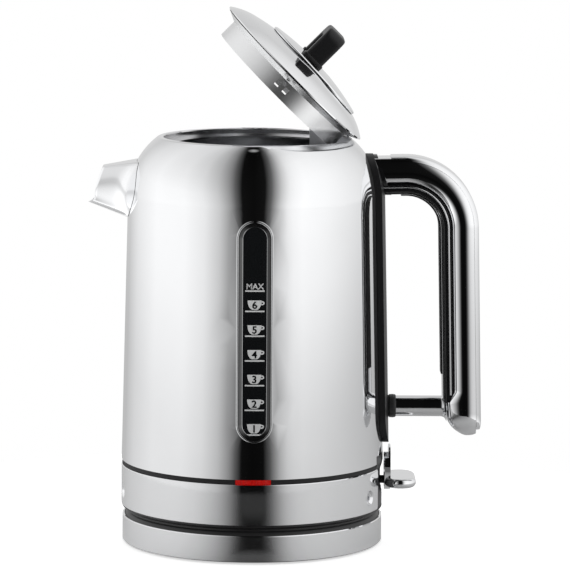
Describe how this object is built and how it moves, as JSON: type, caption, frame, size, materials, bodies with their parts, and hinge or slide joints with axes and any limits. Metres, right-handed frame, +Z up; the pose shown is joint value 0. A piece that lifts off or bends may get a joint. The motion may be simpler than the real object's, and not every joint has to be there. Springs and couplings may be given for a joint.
{
  "type": "electric_kettle",
  "caption": "Cordless electric kettle in polished steel on a round swivelling power base, lid shown open, with a water window, a bent bar handle and a rocker switch.",
  "frame": {"origin": "middle of the surface that the power base stands on, on the axis of the kettle body", "axes": "+X points to the handle and -X to the spout, -Y to the side with the water window, +Z up"},
  "size_m": [0.2325, 0.1557, 0.3166],
  "materials": {
    "polished_steel": "mirror polished stainless steel",
    "brushed_steel": "satin stainless steel",
    "spreader_aluminium": "cast and machined, dull",
    "contact_brass": "bright contact metal",
    "black_plastic": "fine grain, matt",
    "black_gloss": "smooth, glossy",
    "black_rubber": "soft, matt",
    "smoked_lens": "clear smoked, glossy",
    "red_lens": "clear red, glossy"
  },
  "bodies": {
    "power_base": {"base_ring": "polished_steel", "base_deck": "black_plastic", "base_tray": "black_plastic", "base_feet": "black_rubber", "base_screws": "brushed_steel", "cord_gland": "black_rubber"},
    "connector": {"base_connector": "black_plastic", "base_contacts": "contact_brass"},
    "kettle": {"body_shell": "polished_steel", "neck_ring": "polished_steel", "spout": "polished_steel", "spout_strainer": "brushed_steel", "floor_plate": "brushed_steel", "heat_spreader": "spreader_aluminium", "heating_element": "brushed_steel", "chassis": "black_plastic", "front_band": "polished_steel", "band_screws": "brushed_steel", "rear_cover": "black_plastic", "seam_gasket": "black_rubber", "pilot_lens": "red_lens", "kettle_connector": "black_plastic", "connector_pins": "contact_brass", "control_unit": "black_plastic", "steam_tube": "brushed_steel", "window_bezel": "polished_steel", "window_gasket": "black_rubber", "window_lens": "smoked_lens", "window_frame": "black_plastic", "handle_plate": "black_gloss", "handle_collar": "black_gloss", "strut_collar": "black_gloss", "handle_strut": "polished_steel", "handle_bar": "polished_steel", "handle_back_strip": "polished_steel", "handle_core": "black_gloss", "handle_inner_strip": "polished_steel", "grip_pad": "black_rubber", "handle_screws": "brushed_steel", "hinge_bracket": "brushed_steel", "hinge_pin": "brushed_steel", "switch_pin": "brushed_steel"},
    "lid": {"lid_dome": "polished_steel", "lid_skirt": "polished_steel", "lid_inner_plate": "brushed_steel", "lid_pad_gasket": "black_plastic", "lid_pad": "polished_steel", "lid_knob": "black_gloss", "knob_screws": "brushed_steel", "lid_hinge_arm": "brushed_steel"},
    "switch": {"switch_lever": "polished_steel", "switch_stem": "black_plastic"}
  },
  "joints": [
    {"name": "kettle_turn", "type": "hinge", "parent": "power_base", "child": "connector", "pos_m": [0, 0, 0.0184], "axis": [0, 0, 1], "continuous": true},
    {"name": "kettle_lift", "type": "slide", "parent": "connector", "child": "kettle", "axis": [0, 0, 1], "range_m": [0, 0.12]},
    {"name": "lid_hinge", "type": "hinge", "parent": "kettle", "child": "lid", "pos_m": [0.0585, 0, 0.233], "axis": [0, 1, 0], "range_deg": [-45, 0]},
    {"name": "switch_toggle", "type": "hinge", "parent": "kettle", "child": "switch", "pos_m": [0.07, 0, 0.0348], "axis": [0, 1, 0], "range_deg": [0, 8]}
  ]
}
